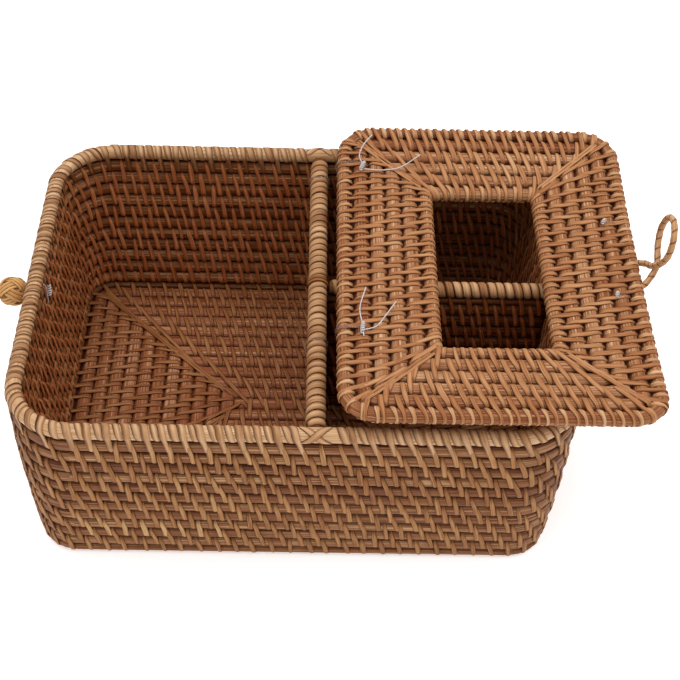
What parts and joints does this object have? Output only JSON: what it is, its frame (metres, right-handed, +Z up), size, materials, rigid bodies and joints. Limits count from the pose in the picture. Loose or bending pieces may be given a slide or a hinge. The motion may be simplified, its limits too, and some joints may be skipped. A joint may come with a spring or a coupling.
{
  "type": "wicker tissue box",
  "caption": "Coiled-cane tissue box with flared walls, a windowed lid hinged on its divider, two side compartments and a loop-and-knob closure.",
  "frame": {"origin": "under the middle of the base, on the flat underside that the box stands on", "axes": "+X along the long side from the knob to the side the opened lid lies on, +Y to the back, +Z up"},
  "size_m": [0.3324, 0.2084, 0.1435],
  "materials": {
    "cane_rod": "satin",
    "rail_cane": "satin",
    "rim_cane": "satin",
    "lid_cane": "satin",
    "cane_peel": "satin",
    "nylon_line": "gloss"
  },
  "bodies": {
    "basket": {"base_core_rod": "cane_rod", "base_course_01": "cane_rod", "base_course_02": "cane_rod", "base_course_03": "cane_rod", "base_course_04": "cane_rod", "base_course_05": "cane_rod", "base_course_06": "cane_rod", "base_course_07": "cane_rod", "base_course_08": "cane_rod", "base_course_09": "cane_rod", "base_course_10": "cane_rod", "base_course_11": "cane_rod", "base_course_12": "cane_rod", "closure_knob": "cane_peel", "cross_divider_panel": "cane_rod", "cross_divider_rail": "rail_cane", "knob_tie": "nylon_line", "lashing_front": "cane_peel", "lashing_middle": "cane_peel", "lashing_rear": "cane_peel", "lashing_right": "cane_peel", "main_divider_panel": "cane_rod", "main_divider_rail": "rail_cane", "rail_hinge_tie_front": "nylon_line", "rail_hinge_tie_rear": "nylon_line", "rim_hoop": "rim_cane", "wall_course_01": "cane_rod", "wall_course_02": "cane_rod", "wall_course_03": "cane_rod", "wall_course_04": "cane_rod", "wall_course_05": "cane_rod", "wall_course_06": "cane_rod", "wall_course_07": "cane_rod", "wall_course_08": "cane_rod", "wall_course_09": "cane_rod", "wall_course_10": "cane_rod", "wall_course_11": "cane_rod"},
    "lid": {"lid_course_01": "lid_cane", "lid_course_02": "lid_cane", "lid_course_03": "lid_cane", "lid_course_04": "lid_cane", "lid_course_05": "lid_cane", "lid_course_06": "lid_cane", "lid_hinge_tie_front": "nylon_line", "lid_hinge_tie_rear": "nylon_line", "loop_tie_front": "nylon_line", "loop_tie_rear": "nylon_line"},
    "closure_loop": {"closure_loop": "cane_peel"}
  },
  "joints": [
    {"name": "lid_hinge", "type": "hinge", "parent": "basket", "child": "lid", "pos_m": [0.0178, 0, 0.1087], "axis": [0, -1, 0], "range_deg": [0, 180]},
    {"name": "loop_swing", "type": "hinge", "parent": "lid", "child": "closure_loop", "pos_m": [0.1695, 0, 0.1057], "axis": [0, 1, 0], "range_deg": [0, 60]}
  ]
}
